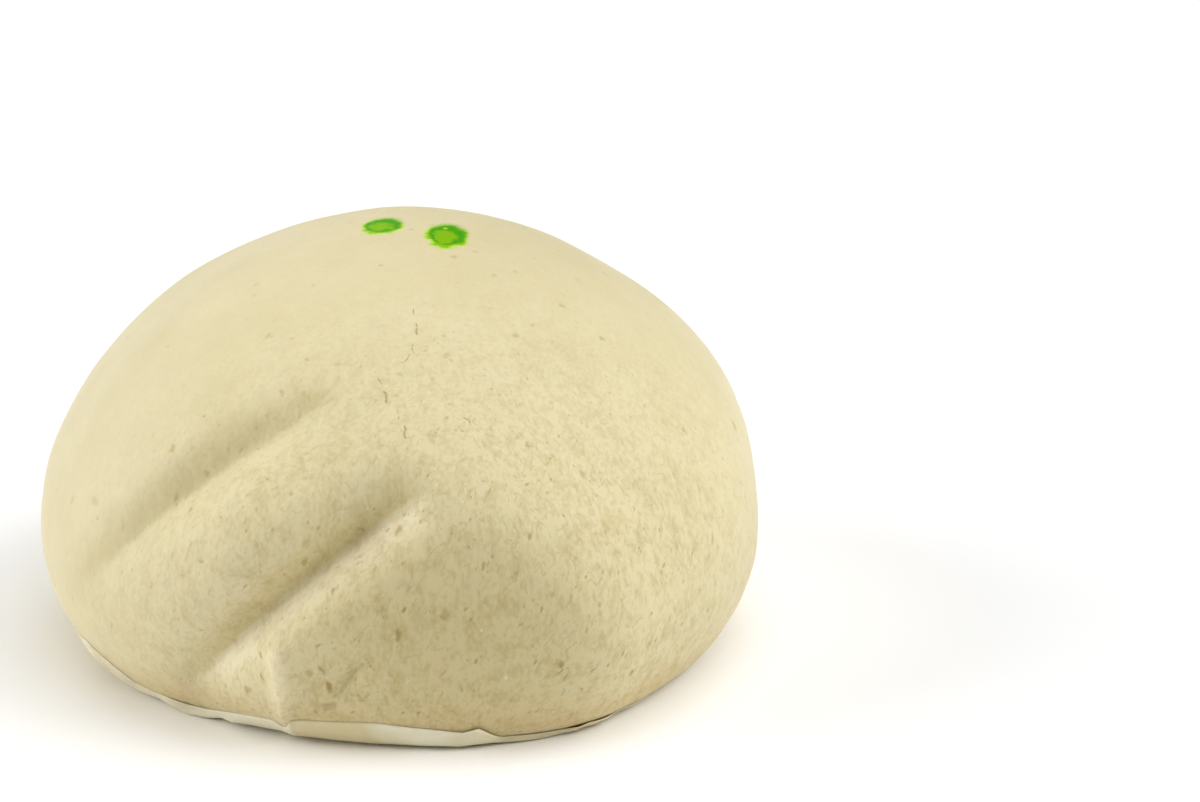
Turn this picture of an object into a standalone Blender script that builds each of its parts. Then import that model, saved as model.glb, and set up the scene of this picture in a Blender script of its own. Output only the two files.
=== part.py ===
"""A bakpao: one whole steamed bun, standing on the round of baking paper that it was steamed on.

Metres, +Z up. The front of the bun faces -Y, and the origin is on the table, under the middle of
the bun and its paper. A place on the skin is given as seen from the heart of the bun: its bearing
is in degrees round from the front (0) by the right side (90) to the back (180), and its elevation
in degrees above the level where the bun is widest.
"""

import math
from collections import namedtuple

import bmesh
import bpy
from mathutils import Matrix, Vector, noise

# The plain bun: a low dome over a rounded underside that has settled flat
BUN_RADIUS = 0.0525
BUN_HEIGHT = 0.0603
WIDEST_LEVEL = 0.0165
UNDERSIDE_DEPTH = 0.0347
FOOT_ROUNDING = 0.0020
HEART = Vector((0.0, 0.0, WIDEST_LEVEL))

# The round of baking paper: it lies flat under the bun, and its margin hugs the rounded foot, from
# the elevation of its inner ring up to its edge, which curls outwards. The edge is given by the
# places that it passes: bearing, elevation, and how far it stands out from the bun. What of the
# underside is nearer to the table than LIES_FLAT_BELOW lies flat on it
PAPER_THICKNESS = 0.0004
PAPER_GAP = 0.0003
BUN_FLOOR = PAPER_THICKNESS + PAPER_GAP
PAPER_SEGMENTS = 96
PAPER_RINGS = 7
PAPER_INNER_RING = -25
EDGE_CURL = 3
LIES_FLAT_BELOW = 0.0001
FACING_STEP = 0.5
Edge = namedtuple("Edge", "bearing elevation stand")
PAPER_EDGE = (
    Edge(-180, -14.0, 0.0005),
    Edge(-158, -11.5, 0.0009),
    Edge(-135, -13.0, 0.0003),
    Edge(-110, -10.0, 0.0008),
    Edge(-88, -15.0, 0.0001),
    Edge(-70, -14.5, 0.0001),
    Edge(-60, -12.0, 0.0002),
    Edge(-53, -15.5, 0.0003),
    Edge(-44, -17.0, 0.0001),
    Edge(-37, -17.2, 0.0004),
    Edge(-29, -16.4, 0.0001),
    Edge(-17, -14.8, 0.0001),
    Edge(-2, -12.6, 0.0),
    Edge(6, -13.4, 0.0003),
    Edge(12, -14.8, 0.0005),
    Edge(19, -17.4, 0.0001),
    Edge(27, -18.6, 0.0),
    Edge(34, -18.0, 0.0004),
    Edge(40, -19.2, 0.0),
    Edge(50, -19.5, 0.0),
    Edge(84, -19.0, 0.0001),
    Edge(104, -12.5, 0.0009),
    Edge(128, -14.5, 0.0003),
    Edge(152, -11.0, 0.0007),
)

# Soft hollows and, where the depth is negative, soft swellings: reach and depth in metres
Dent = namedtuple("Dent", "bearing elevation reach depth")
DENTS = (
    Dent(bearing=-28, elevation=-20, reach=0.034, depth=0.0044),
    Dent(bearing=12, elevation=-20, reach=0.024, depth=0.0010),
    Dent(bearing=58, elevation=-18, reach=0.026, depth=0.0014),
    Dent(bearing=-68, elevation=-18, reach=0.022, depth=0.0008),
    Dent(bearing=-84, elevation=34, reach=0.020, depth=0.0012),
    Dent(bearing=-110, elevation=52, reach=0.026, depth=0.0012),
    Dent(bearing=92, elevation=-6, reach=0.030, depth=0.0012),
    Dent(bearing=-8, elevation=-4, reach=0.009, depth=0.0009),
    Dent(bearing=-20, elevation=18, reach=0.016, depth=-0.0013),
    Dent(bearing=34, elevation=30, reach=0.024, depth=-0.0008),
    Dent(bearing=8, elevation=-2, reach=0.030, depth=0.0037),
    Dent(bearing=150, elevation=20, reach=0.026, depth=0.0011),
    Dent(bearing=-135, elevation=44, reach=0.022, depth=-0.0007),
)

# Folds that fingers pressed in, and the soft roll that rises between them and the right flank,
# whose depth is negative. The depth tapers to nothing at both ends, and on each side it ends at
# that side's reach. The rounding is the radius of the bottom, or of the roll's top
Fold = namedtuple("Fold", "start middle end depth upper_reach lower_reach rounding taper")
FOLDS = (
    Fold(start=(-8.5, 43.5), middle=(-29.5, 26.5), end=(-58, -2), depth=0.0029,
         upper_reach=0.0064, lower_reach=0.0062, rounding=0.0015, taper=0.9),
    Fold(start=(9, 26.5), middle=(-10.5, 13.4), end=(-38, -13), depth=0.0058,
         upper_reach=0.0084, lower_reach=0.0064, rounding=0.0013, taper=0.85),
    Fold(start=(-4, 38), middle=(20, 17), end=(43, -11), depth=-0.0032,
         upper_reach=0.0170, lower_reach=0.0150, rounding=0.0075, taper=1.0),
    Fold(start=(168, 38), middle=(156, 20), end=(150, -4), depth=0.0012,
         upper_reach=0.0080, lower_reach=0.0060, rounding=0.0013, taper=1.0),
)
FOLD_STEPS = 12

# Unevenness of the risen dough: size of the lumps and their height
LUMPS = ((0.030, 0.0006), (0.013, 0.00022))

# The grid of the skin: its cells crowd towards the folded front, and its rows there run as the
# folds do, which is this many degrees up from level
SKIN_CELLS = 30
CROWDING = 0.30
CROWDED_PLACE = (-12, 10)
GRID_TURN = 38


def clear_scene():
    for obj in list(bpy.data.objects):
        bpy.data.objects.remove(obj, do_unlink=True)


def toward(bearing, elevation):
    """The unit direction from the heart to a place on the skin."""
    turn = math.radians(bearing)
    rise = math.radians(elevation)
    return Vector((math.sin(turn) * math.cos(rise), -math.cos(turn) * math.cos(rise), math.sin(rise)))


def plain_place(direction):
    """The place on the plain bun, before it is dented, that lies this way from the heart."""
    rise = BUN_HEIGHT - WIDEST_LEVEL if direction.z >= 0 else UNDERSIDE_DEPTH
    flat = (direction.x ** 2 + direction.y ** 2) / BUN_RADIUS ** 2
    return HEART + direction / math.sqrt(flat + (direction.z / rise) ** 2)


def fade(share):
    """Eases from 1 in the middle of a feature (share 0) to 0 at its rim (share 1)."""
    return (1 - min(share, 1.0) ** 2) ** 2


def fold_line(fold):
    """The places along a fold, from its start by its middle to its end, on a smooth curve."""
    start, middle, end = (toward(*place) for place in (fold.start, fold.middle, fold.end))
    bow = 2 * middle - (start + end) / 2
    steps = [step / FOLD_STEPS for step in range(FOLD_STEPS + 1)]
    return [plain_place((start * (1 - s) ** 2 + bow * 2 * s * (1 - s) + end * s ** 2).normalized())
            for s in steps]


FOLD_LINES = [fold_line(fold) for fold in FOLDS]


def fold_depth(fold, line, place):
    """How deep a fold has pressed in the skin at this place."""
    best = None
    for step, (here, there) in enumerate(zip(line, line[1:])):
        run = there - here
        share = min(max((place - here).dot(run) / run.length_squared, 0.0), 1.0)
        nearest = here + run * share
        gap = (place - nearest).length
        if best is None or gap < best[0]:
            best = (gap, step + share, nearest, run)
    gap, progress, nearest, run = best
    above = (place - nearest).dot(run.cross(nearest - HEART)) > 0
    reach = fold.upper_reach if above else fold.lower_reach
    rounded_gap = math.hypot(gap, fold.rounding) - fold.rounding
    if rounded_gap >= reach:
        return 0.0
    taper = math.sin(math.pi * progress / FOLD_STEPS) ** fold.taper
    return fold.depth * taper * (1 - rounded_gap / reach) ** 2


def settled(level):
    """A level kept above the flat underside, whose edge is rounded."""
    above = level - BUN_FLOOR
    if above >= FOOT_ROUNDING:
        return level
    if above <= -FOOT_ROUNDING:
        return BUN_FLOOR
    return BUN_FLOOR + (above + FOOT_ROUNDING) ** 2 / (4 * FOOT_ROUNDING)


def skin_place(direction):
    """The place on the finished skin that lies this way from the heart."""
    place = plain_place(direction)
    sink = sum(fold_depth(fold, line, place) for fold, line in zip(FOLDS, FOLD_LINES))
    for dent in DENTS:
        middle = plain_place(toward(dent.bearing, dent.elevation))
        sink += dent.depth * fade((place - middle).length / dent.reach)
    for size, height in LUMPS:
        sink += height * noise.noise(place / size)
    place -= direction * sink
    place.z = settled(place.z)
    return place


def skin_facing(bearing, elevation):
    """Which way the finished skin faces at a place, found from its neighbours."""
    sides = (-FACING_STEP, FACING_STEP)
    left, right = (skin_place(toward(bearing + side, elevation)) for side in sides)
    below, above = (skin_place(toward(bearing, elevation + side)) for side in sides)
    return (right - left).cross(above - below).normalized()


def paper_edge(bearing):
    """The elevation of the paper's edge at a bearing, and how far it stands out from the bun."""
    ring = PAPER_EDGE + (PAPER_EDGE[0]._replace(bearing=PAPER_EDGE[0].bearing + 360),)
    turn = (bearing - ring[0].bearing) % 360 + ring[0].bearing
    here, there = next(pair for pair in zip(ring, ring[1:]) if turn <= pair[1].bearing)
    share = (turn - here.bearing) / (there.bearing - here.bearing)
    share = (1 - math.cos(math.pi * share)) / 2
    return (here.elevation + (there.elevation - here.elevation) * share,
            here.stand + (there.stand - here.stand) * share)


def paper_place(bearing, run):
    """The place on the paper's underside at this share of the way from inner ring to edge."""
    edge_elevation, stand = paper_edge(bearing)
    elevation = PAPER_INNER_RING + (edge_elevation - PAPER_INNER_RING) * run
    place = skin_place(toward(bearing, elevation)) + skin_facing(bearing, elevation) * BUN_FLOOR
    place += toward(bearing, 0) * stand * run ** EDGE_CURL
    if place.z < LIES_FLAT_BELOW:
        place.z = 0.0
    return place


def even_ball(cells):
    """A ball of nearly even quads: a cube with this many cells along each edge, blown round."""
    ball = bmesh.new()
    bmesh.ops.create_cube(ball, size=2.0)
    bmesh.ops.subdivide_edges(ball, edges=ball.edges[:], cuts=cells - 1, use_grid_fill=True)
    for vert in ball.verts:
        vert.co = Vector([math.tan(c * math.pi / 4) for c in vert.co]).normalized()
    return ball


def add_object(name, shape, material):
    mesh = bpy.data.meshes.new(name)
    shape.to_mesh(mesh)
    shape.free()
    mesh.shade_smooth()
    mesh.materials.append(material)
    obj = bpy.data.objects.new(name, mesh)
    bpy.context.scene.collection.objects.link(obj)
    return obj


def finish(name, colour, roughness):
    material = bpy.data.materials.new(name)
    material.use_nodes = True
    shader = material.node_tree.nodes["Principled BSDF"]
    shader.inputs["Base Color"].default_value = (*colour, 1.0)
    shader.inputs["Roughness"].default_value = roughness
    shader.inputs["Metallic"].default_value = 0.0
    return material


def make_bun():
    skin = even_ball(SKIN_CELLS)
    front = toward(*CROWDED_PLACE)
    turn = Matrix.Rotation(math.radians(GRID_TURN), 3, front)
    for vert in skin.verts:
        vert.co = skin_place((turn @ vert.co + front * CROWDING).normalized())
    bmesh.ops.recalc_face_normals(skin, faces=skin.faces[:])
    return add_object("bun", skin, finish("steamed_dough", (0.81, 0.72, 0.46), 0.6))


def make_paper():
    """Grows a flat disc ring by ring, moves it under the bun, and gives it its thickness."""
    sheet = bmesh.new()
    bmesh.ops.create_circle(sheet, cap_ends=True, segments=PAPER_SEGMENTS, radius=1.0)
    rim = [edge for edge in sheet.edges if edge.is_boundary]
    for ring in range(2, PAPER_RINGS + 2):
        grown = bmesh.ops.extrude_edge_only(sheet, edges=rim)["geom"]
        bmesh.ops.scale(sheet, vec=(ring / (ring - 1), ring / (ring - 1), 1.0),
                        verts=[item for item in grown if isinstance(item, bmesh.types.BMVert)])
        rim = [item for item in grown if isinstance(item, bmesh.types.BMEdge) and item.is_boundary]
    for vert in sheet.verts:
        bearing = math.degrees(math.atan2(vert.co.x, -vert.co.y))
        vert.co = paper_place(bearing, (vert.co.length - 1) / PAPER_RINGS)
    bmesh.ops.recalc_face_normals(sheet, faces=sheet.faces[:])
    bmesh.ops.triangulate(sheet, faces=sheet.faces[:])
    bmesh.ops.solidify(sheet, geom=sheet.faces[:], thickness=PAPER_THICKNESS)
    bmesh.ops.recalc_face_normals(sheet, faces=sheet.faces[:])
    return add_object("paper", sheet, finish("baking_paper", (0.78, 0.74, 0.62), 0.5))


def put_on_origin(pieces):
    """Moves the pieces so that the origin is under the middle of the box round them all."""
    corners = [vert.co for piece in pieces for vert in piece.data.vertices]
    middle = [(min(co[axis] for co in corners) + max(co[axis] for co in corners)) / 2
              for axis in (0, 1)]
    for piece in pieces:
        piece.data.transform(Matrix.Translation((-middle[0], -middle[1], 0.0)))


def main():
    clear_scene()
    put_on_origin([make_bun(), make_paper()])


main()
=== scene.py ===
# %% [markdown]
# # A steamed bun on its baking paper
# A bakpao is a ball of white yeast dough that is set on a round of baking paper and steamed. It
# swells into a low dome, keeps the folds that fingers pressed in, and gets dye rings on top that
# tell one kind from another. The plain solids of the bun and of its paper are the frame of this
# lesson, and nothing in it may leave their shape. It adds the fine relief, the finishes, the light
# and the view.

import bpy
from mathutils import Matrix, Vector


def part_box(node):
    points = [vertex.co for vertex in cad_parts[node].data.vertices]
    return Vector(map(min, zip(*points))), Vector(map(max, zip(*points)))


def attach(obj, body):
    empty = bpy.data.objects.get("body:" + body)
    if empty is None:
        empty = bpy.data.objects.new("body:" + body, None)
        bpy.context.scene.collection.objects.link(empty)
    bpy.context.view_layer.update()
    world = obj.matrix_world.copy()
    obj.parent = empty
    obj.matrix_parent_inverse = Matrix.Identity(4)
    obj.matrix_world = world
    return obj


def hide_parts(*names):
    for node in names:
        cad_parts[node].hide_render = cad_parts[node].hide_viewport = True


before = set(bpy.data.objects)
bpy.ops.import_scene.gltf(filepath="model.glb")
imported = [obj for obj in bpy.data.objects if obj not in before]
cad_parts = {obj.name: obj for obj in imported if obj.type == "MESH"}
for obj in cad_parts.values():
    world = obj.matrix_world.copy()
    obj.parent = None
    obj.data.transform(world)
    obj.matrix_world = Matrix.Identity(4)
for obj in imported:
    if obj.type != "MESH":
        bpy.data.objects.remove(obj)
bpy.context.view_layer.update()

# %% Import Blender's tools
import math
from collections import namedtuple

import bmesh
import bpy
from mathutils import Matrix, Vector, noise

scene = bpy.context.scene
print("Blender", bpy.app.version_string)

# %% [markdown]
# ## The view
# The bun is seen from its front and a little above, through a long lens, so that it looks as calm
# as food in a catalogue. A camera could be turned by an aim constraint, but here its three axes
# are written down: forwards, right and up. The heart of the bun isn't in the middle of the
# picture, so the camera stands where that heart falls on the right pixel.

# %% Place the camera
PICTURE_WIDTH, PICTURE_HEIGHT = 1200, 802
LENS_MM, SENSOR_MM = 85.0, 36.0
LOOK_DOWN = math.radians(20.5)
CAMERA_DISTANCE = 0.412
HEART_OF_VIEW = Vector((0.0, 0.0, 0.030))
HEART_PIXEL = (401, 424)


def add_object(name, data):
    made = bpy.data.objects.new(name, data)
    scene.collection.objects.link(made)
    return made


def add_camera():
    right = Vector((1.0, 0.0, 0.0))
    forwards = Vector((0.0, math.cos(LOOK_DOWN), -math.sin(LOOK_DOWN)))
    up = right.cross(forwards)
    one_pixel = SENSOR_MM / LENS_MM / PICTURE_WIDTH
    sight = (forwards + right * (HEART_PIXEL[0] - PICTURE_WIDTH / 2) * one_pixel
             + up * (PICTURE_HEIGHT / 2 - HEART_PIXEL[1]) * one_pixel)
    data = bpy.data.cameras.new("camera")
    data.lens = LENS_MM
    data.sensor_width = SENSOR_MM
    camera = add_object("camera", data)
    axes = Matrix((right, up, -forwards)).transposed().to_4x4()
    camera.matrix_world = Matrix.Translation(HEART_OF_VIEW - sight * CAMERA_DISTANCE) @ axes
    scene.camera = camera
    return camera


print("camera stands at", add_camera().matrix_world.translation)

# %% [markdown]
# ## Helpers for node trees
# Every finish below is a tree of shader nodes. Small helpers keep the trees short: one adds a node
# and fills or links its inputs, four build on it for sums, vectors, easing and mixing, and two more
# start a node group with named sockets and use it. A group is built once and used in several
# places, each time with its own values.

# %% Make nodes and groups
def fill(tree, socket, value):
    """Links a socket to another one, or gives it a value."""
    if isinstance(value, bpy.types.NodeSocket):
        tree.links.new(value, socket)
    else:
        socket.default_value = value


def add_node(tree, kind, inputs=(), **settings):
    made = tree.nodes.new("ShaderNode" + kind)
    for name, value in settings.items():
        setattr(made, name, value)
    for name, value in dict(inputs).items():
        fill(tree, made.inputs[name], value)
    return made


def calculate(tree, operation, *values, clamp=False):
    """A Math node on one, two or three numbers or sockets."""
    made = add_node(tree, "Math", enumerate(values), operation=operation, use_clamp=clamp)
    return made.outputs[0]


def along(tree, operation, *values):
    """A Vector Math node; gives its vector, or its number where the result is one."""
    made = add_node(tree, "VectorMath", enumerate(values), operation=operation)
    is_number = operation in ("LENGTH", "DOT_PRODUCT", "DISTANCE")
    return made.outputs["Value" if is_number else "Vector"]


def ramp(tree, value, low, high, to_low=0.0, to_high=1.0):
    """Eases smoothly between two values while the first number goes from low to high."""
    made = add_node(tree, "MapRange", interpolation_type="SMOOTHSTEP")
    for name, number in (("Value", value), ("From Min", low), ("From Max", high),
                         ("To Min", to_low), ("To Max", to_high)):
        fill(tree, made.inputs[name], number)
    return made.outputs["Result"]


def mix_colours(tree, share, first, second, blend="MIX"):
    made = add_node(tree, "Mix", data_type="RGBA", blend_type=blend)
    fill(tree, made.inputs[0], share)
    for socket, colour in ((made.inputs[6], first), (made.inputs[7], second)):
        fill(tree, socket, colour if isinstance(colour, bpy.types.NodeSocket) else (*colour, 1.0))
    return made.outputs[2]


def new_group(name, inputs, outputs):
    """A node group with these sockets; gives it with its own input and output sockets."""
    group = bpy.data.node_groups.new(name, "ShaderNodeTree")
    for socket_name, kind in inputs:
        group.interface.new_socket(socket_name, in_out="INPUT", socket_type="NodeSocket" + kind)
    for socket_name, kind in outputs:
        group.interface.new_socket(socket_name, in_out="OUTPUT", socket_type="NodeSocket" + kind)
    entry = group.nodes.new("NodeGroupInput").outputs
    result = group.nodes.new("NodeGroupOutput").inputs
    return group, entry, result


def use_group(tree, group, **values):
    made = tree.nodes.new("ShaderNodeGroup")
    made.node_tree = group
    for name, value in values.items():
        fill(tree, made.inputs[name.replace("_", " ")], value)
    return made.outputs


# %% [markdown]
# ## The form of the bun
# The real bun is a ball that has risen, sagged a little and settled flat. Its form is a formula
# here, the same one that made its solid: half an ellipsoid above the widest level, a shallower
# half below it that ends flat, less the depth of folds and hollows. A place on the skin is given
# by its bearing, in degrees round from the front to the right, and its elevation, the angle above
# the widest level, both seen from the heart. The formula is used again, and not the solid's own
# mesh, because a finer grid then shows sharp creases that the solid's coarse grid had to round off.

# %% Give the plain bun
BUN_LOW, BUN_HIGH = (Vector(corner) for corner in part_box("bun"))
BUN_RADIUS = 0.0525
BUN_HEIGHT = 0.0603
WIDEST_LEVEL = 0.0165
UNDERSIDE_DEPTH = 0.0347
BUN_FLOOR = BUN_LOW.z
FOOT_ROUNDING = 0.0020
HEART = Vector((0.0, 0.0, WIDEST_LEVEL))


def toward(bearing, elevation):
    """The unit direction from the heart to a place on the skin."""
    turn = math.radians(bearing)
    rise = math.radians(elevation)
    level = math.cos(rise)
    return Vector((math.sin(turn) * level, -math.cos(turn) * level, math.sin(rise)))


def plain_place(direction):
    """The place on the plain bun, before it is dented, that lies this way from the heart."""
    rise = BUN_HEIGHT - WIDEST_LEVEL if direction.z >= 0 else UNDERSIDE_DEPTH
    flat = (direction.x ** 2 + direction.y ** 2) / BUN_RADIUS ** 2
    return HEART + direction / math.sqrt(flat + (direction.z / rise) ** 2)


def settled(level):
    """A level kept above the flat underside, whose edge is rounded."""
    above = level - BUN_FLOOR
    if above >= FOOT_ROUNDING:
        return level
    if above <= -FOOT_ROUNDING:
        return BUN_FLOOR
    return BUN_FLOOR + (above + FOOT_ROUNDING) ** 2 / (4 * FOOT_ROUNDING)


print("the bun stands", round(BUN_FLOOR * 1000, 2), "mm above the table, on its paper")

# %% [markdown]
# ## Hollows and folds
# Soft hollows come from the hands that shaped the ball, and the folds from fingers that pinched
# it: two long ones at the front and a shorter one at the back. To the right of them the dough
# stands up in one broad roll. A hollow is a round spot whose depth eases out to its rim. A fold is
# a curve on the skin, deepest along its crease, and each of its two sides has a reach of its own.
# Near the foot a thin ridge of dough and a curled crease were pressed up as the bun settled. What
# stands up is a hollow or a fold with a negative depth, so one formula makes them all.

# %% List the hollows
Dent = namedtuple("Dent", "bearing elevation reach depth")
DENTS = (
    Dent(bearing=-28, elevation=-20, reach=0.034, depth=0.0044),
    Dent(bearing=12, elevation=-20, reach=0.024, depth=0.0010),
    Dent(bearing=58, elevation=-18, reach=0.026, depth=0.0014),
    Dent(bearing=-68, elevation=-18, reach=0.022, depth=0.0008),
    Dent(bearing=-84, elevation=34, reach=0.020, depth=0.0012),
    Dent(bearing=-110, elevation=52, reach=0.026, depth=0.0012),
    Dent(bearing=92, elevation=-6, reach=0.030, depth=0.0012),
    Dent(bearing=-8, elevation=-4, reach=0.009, depth=0.0009),
    Dent(bearing=-20, elevation=18, reach=0.016, depth=-0.0013),
    Dent(bearing=34, elevation=30, reach=0.024, depth=-0.0008),
    Dent(bearing=8, elevation=-2, reach=0.030, depth=0.0037),
    Dent(bearing=150, elevation=20, reach=0.026, depth=0.0011),
    Dent(bearing=-135, elevation=44, reach=0.022, depth=-0.0007),
)
print("hollows and swellings:", len(DENTS))

# %% List the folds, ridges and creases
Fold = namedtuple("Fold", "start middle end depth upper_reach lower_reach rounding taper")
FOLDS = (
    Fold(start=(-8.5, 43.5), middle=(-29.5, 26.5), end=(-58, -2), depth=0.0029,
         upper_reach=0.0056, lower_reach=0.0062, rounding=0.0015, taper=0.9),
    Fold(start=(9, 26.5), middle=(-10.5, 13.4), end=(-38, -13), depth=0.0058,
         upper_reach=0.0084, lower_reach=0.0064, rounding=0.0012, taper=0.85),
    Fold(start=(-4, 38), middle=(20, 17), end=(43, -11), depth=-0.0032,
         upper_reach=0.0170, lower_reach=0.0150, rounding=0.0075, taper=1.0),
    Fold(start=(168, 38), middle=(156, 20), end=(150, -4), depth=0.0012,
         upper_reach=0.0080, lower_reach=0.0060, rounding=0.0013, taper=1.0),
)
FOOT_LINES = (
    Fold(start=(-17.2, 4), middle=(-16.6, -7), end=(-19.0, -19), depth=-0.0009,
         upper_reach=0.0036, lower_reach=0.0016, rounding=0.0004, taper=0.5),
    Fold(start=(-1.6, 0.5), middle=(-5.0, -4.2), end=(-8.0, -9.6), depth=0.0009,
         upper_reach=0.0024, lower_reach=0.0009, rounding=0.0003, taper=0.7),
    Fold(start=(-7.2, -9.2), middle=(-9.4, -10.6), end=(-12.0, -9.6), depth=0.0007,
         upper_reach=0.0012, lower_reach=0.0012, rounding=0.0003, taper=0.7),
)
print("folds and the roll:", len(FOLDS), "lines near the foot:", len(FOOT_LINES))

# %% [markdown]
# A fold is followed in short steps. For any place on the skin its depth needs the nearest point
# of that path, how far along the path it lies, and on which side of it the place is.

# %% Work out depths
FOLD_STEPS = 12
Path = namedtuple("Path", "fold places middle radius")


def path_of(fold):
    """The places along a fold, on a smooth curve, and the ball round all that it reaches."""
    start, middle, end = (toward(*place) for place in (fold.start, fold.middle, fold.end))
    bow = 2 * middle - (start + end) / 2
    steps = [step / FOLD_STEPS for step in range(FOLD_STEPS + 1)]
    directions = [start * (1 - s) ** 2 + bow * 2 * s * (1 - s) + end * s ** 2 for s in steps]
    places = [plain_place(direction.normalized()) for direction in directions]
    centre = (places[0] + places[-1]) / 2
    length = max((place - centre).length for place in places)
    return Path(fold, places, centre, length + fold.upper_reach + fold.lower_reach)


Nearness = namedtuple("Nearness", "gap above progress")


def near_fold(path, place):
    """How far off the line of a fold a place is, on which side, how far along; None if well away.
    """
    if (place - path.middle).length > path.radius:
        return None
    best = None
    for step, (here, there) in enumerate(zip(path.places, path.places[1:])):
        run = there - here
        share = min(max((place - here).dot(run) / run.length_squared, 0.0), 1.0)
        nearest = here + run * share
        gap = (place - nearest).length
        if best is None or gap < best[0]:
            best = (gap, step + share, nearest, run)
    gap, progress, nearest, run = best
    above = (place - nearest).dot(run.cross(nearest - HEART)) > 0
    return Nearness(gap, above, progress / FOLD_STEPS)


def fold_depth(path, place):
    """How deep a fold has pressed in the skin at this place."""
    near = near_fold(path, place)
    if near is None:
        return 0.0
    fold = path.fold
    reach = fold.upper_reach if near.above else fold.lower_reach
    rounded_gap = math.hypot(near.gap, fold.rounding) - fold.rounding
    if rounded_gap >= reach:
        return 0.0
    taper = math.sin(math.pi * near.progress) ** fold.taper
    return fold.depth * taper * (1 - rounded_gap / reach) ** 2


def fade(share):
    """Eases from 1 in the middle of a feature (share 0) to 0 at its rim (share 1)."""
    return (1 - min(share, 1.0) ** 2) ** 2


DENT_PLACES = [(plain_place(toward(dent.bearing, dent.elevation)), dent) for dent in DENTS]
FOLD_PATHS = [path_of(fold) for fold in FOLDS]
FOOT_PATHS = [path_of(line) for line in FOOT_LINES]
for path in FOLD_PATHS:
    print("a fold is", round((path.places[-1] - path.places[0]).length * 1000, 1), "mm long")

# %% [markdown]
# ## The skin's own unevenness
# Risen dough is never smooth: there are broad swellings, small lumps where gas gathered under the
# skin, and tiny ones that only show in raking light. They are layers of noise, each given by the
# size of its lumps and their height. The two small layers fade to a quarter towards the left and
# the back, where the skin dried first and stayed taut.

# %% Place the skin
BROAD_LUMPS = ((0.030, 0.0006), (0.013, 0.00022))
SMALL_LUMPS = ((0.0060, 0.00010), (0.0028, 0.00005))
LUMPY_SIDE = toward(35, 0)
LUMPY_FROM, LUMPY_TO = -0.35, 0.65
LEAST_LUMPY = 0.25


def ease(value, low, high):
    """Eases from 0 to 1 while the value goes from low to high."""
    share = min(max((value - low) / (high - low), 0.0), 1.0)
    return share * share * (3 - 2 * share)


def lumpiness(direction):
    """How much of the small lumps shows this way from the heart, from LEAST_LUMPY to 1."""
    share = ease(direction.dot(LUMPY_SIDE), LUMPY_FROM, LUMPY_TO)
    return LEAST_LUMPY + (1 - LEAST_LUMPY) * share


def skin_place(direction):
    """The place on the finished skin that lies this way from the heart."""
    place = plain_place(direction)
    sink = sum(fold_depth(path, place) for path in FOLD_PATHS)
    for middle, dent in DENT_PLACES:
        sink += dent.depth * fade((place - middle).length / dent.reach)
    for size, height in BROAD_LUMPS:
        sink += height * noise.noise(place / size)
    sink += sum(fold_depth(path, place) for path in FOOT_PATHS)
    share = lumpiness(direction)
    for size, height in SMALL_LUMPS:
        sink += share * height * noise.noise(place / size)
    place -= direction * sink
    place.z = settled(place.z)
    return place


print("the crown is", round(skin_place(toward(0, 90)).z * 1000, 1), "mm above the table")

# %% [markdown]
# ## Painted shade and light along the folds
# A painted shade darkens the dough in the creases of the folds, and a painted light makes it paler
# on the crest below the deeper fold and on the thin ridge at the foot. No texture knows where a
# fold runs, but the formula does, so each point of the mesh gets two numbers from 0 to 1, its
# painted crease shade and its painted crest light, which the dough's material reads as attributes.

# %% Work out crease and crest
# How far the painted shade of a crease and the painted light of a crest reach
CREASE_REACH = 0.0048
CREST_FROM, CREST_FULL, CREST_TO = 0.0003, 0.0013, 0.0054
FADED_ENDS = 0.16
RIDGE_HALF_WIDTH = 0.0020
Tint = namedtuple("Tint", "path crease crest")
# Each fold's strength of painted shade in its crease and of painted light on its crest
TINTS = (Tint(FOLD_PATHS[0], 0.40, 0.0), Tint(FOLD_PATHS[1], 1.0, 1.0))
# The strength of the painted light on the ridge at the foot
RIDGE_PAINTED_LIGHT = 0.75


def painted_fold_shade_and_light(place):
    """How much painted shade a place on the plain bun gets in a fold, and how much painted light.
    """
    crease = crest = 0.0
    for tint in TINTS:
        near = near_fold(tint.path, place)
        if near is None:
            continue
        strength = ease(min(near.progress, 1 - near.progress), 0.0, FADED_ENDS)
        if near.above:
            crease = max(crease, tint.crease * strength * fade(near.gap / CREASE_REACH))
        else:
            pale = ease(near.gap, CREST_FROM, CREST_FULL) * ease(-near.gap, -CREST_TO, -CREST_FULL)
            crest = max(crest, tint.crest * strength * pale)
    ridge = near_fold(FOOT_PATHS[0], place)
    if ridge is not None:
        strength = ease(min(ridge.progress, 1 - ridge.progress), 0.0, FADED_ENDS)
        crest = max(crest, RIDGE_PAINTED_LIGHT * strength * fade(ridge.gap / RIDGE_HALF_WIDTH))
    return crease, crest


print("folds that change the colour:", len(TINTS), "and the ridge")

# %% [markdown]
# ## The grid of the skin
# A ball made of rings would have poles, where the creases of the grid meet and show. A cube with
# a fine grid on each side, blown up to a ball, has none, and its cells are nearly even. The grid is
# turned so that its rows run as the folds do, and pulled towards the front, where the folds are.

# %% Model the skin
SKIN_CELLS = 120
CROWDING = 0.30
CROWDED_PLACE = toward(-12, 10)
GRID_TURN = math.radians(38)


def even_ball(cells):
    ball = bmesh.new()
    bmesh.ops.create_cube(ball, size=2.0)
    bmesh.ops.subdivide_edges(ball, edges=ball.edges[:], cuts=cells - 1, use_grid_fill=True)
    for vert in ball.verts:
        vert.co = Vector([math.tan(c * math.pi / 4) for c in vert.co]).normalized()
    return ball


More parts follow.
